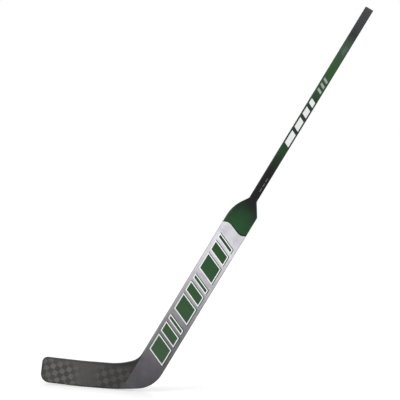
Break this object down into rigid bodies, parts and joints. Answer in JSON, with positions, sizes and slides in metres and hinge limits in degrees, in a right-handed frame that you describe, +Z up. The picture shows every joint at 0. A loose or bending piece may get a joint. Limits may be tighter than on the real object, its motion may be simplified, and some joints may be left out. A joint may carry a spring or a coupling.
{
  "type": "hockey goalie stick",
  "caption": "Ice hockey goalie stick: a wide flat paddle with a sloped shoulder, a hollow rectangular shaft and a curved blade, for stopping and passing the puck.",
  "frame": {"origin": "middle of the flat of the sole, on the ice, in the paddle's middle plane", "axes": "+Z up with the stick at its lie on the ice, -X towards the toe, +X towards the heel and the butt, front (puck) face towards -Y"},
  "size_m": [0.961, 0.0285, 1.2898],
  "materials": {
    "paddle_lacquer": "silver lacquer fading to dark grey, satin, on carbon laminate",
    "shoulder_lacquer": "dark green lacquer fading to black, on carbon laminate",
    "blade_carbon": "clear-coated carbon weave with a dark rim",
    "shaft_lacquer": "black and dark green lacquer on a carbon tube, satin",
    "plug_plastic": "moulded dark grey plastic",
    "core_wood": "bare light wood",
    "core_foam": "rigid closed-cell foam",
    "rib_laminate": "bare carbon laminate"
  },
  "bodies": {
    "root": {"paddle_front_shell": "paddle_lacquer", "paddle_back_shell": "paddle_lacquer", "shoulder_front_shell": "shoulder_lacquer", "shoulder_back_shell": "shoulder_lacquer", "blade_front_shell": "blade_carbon", "blade_back_shell": "blade_carbon", "shaft_tube": "shaft_lacquer", "butt_plug": "plug_plastic", "paddle_spine": "core_wood", "heel_block": "core_wood", "paddle_edge_strip_toe_side": "core_wood", "paddle_edge_strip_heel_side": "core_wood", "shoulder_filler_toe_side": "core_foam", "shoulder_filler_heel_side": "core_foam", "paddle_core_toe_side": "core_foam", "paddle_core_heel_side": "core_foam", "blade_core_top": "core_foam", "blade_core_bottom": "core_foam", "blade_rib": "rib_laminate", "blade_edge_strip": "rib_laminate"}
  },
  "joints": []
}
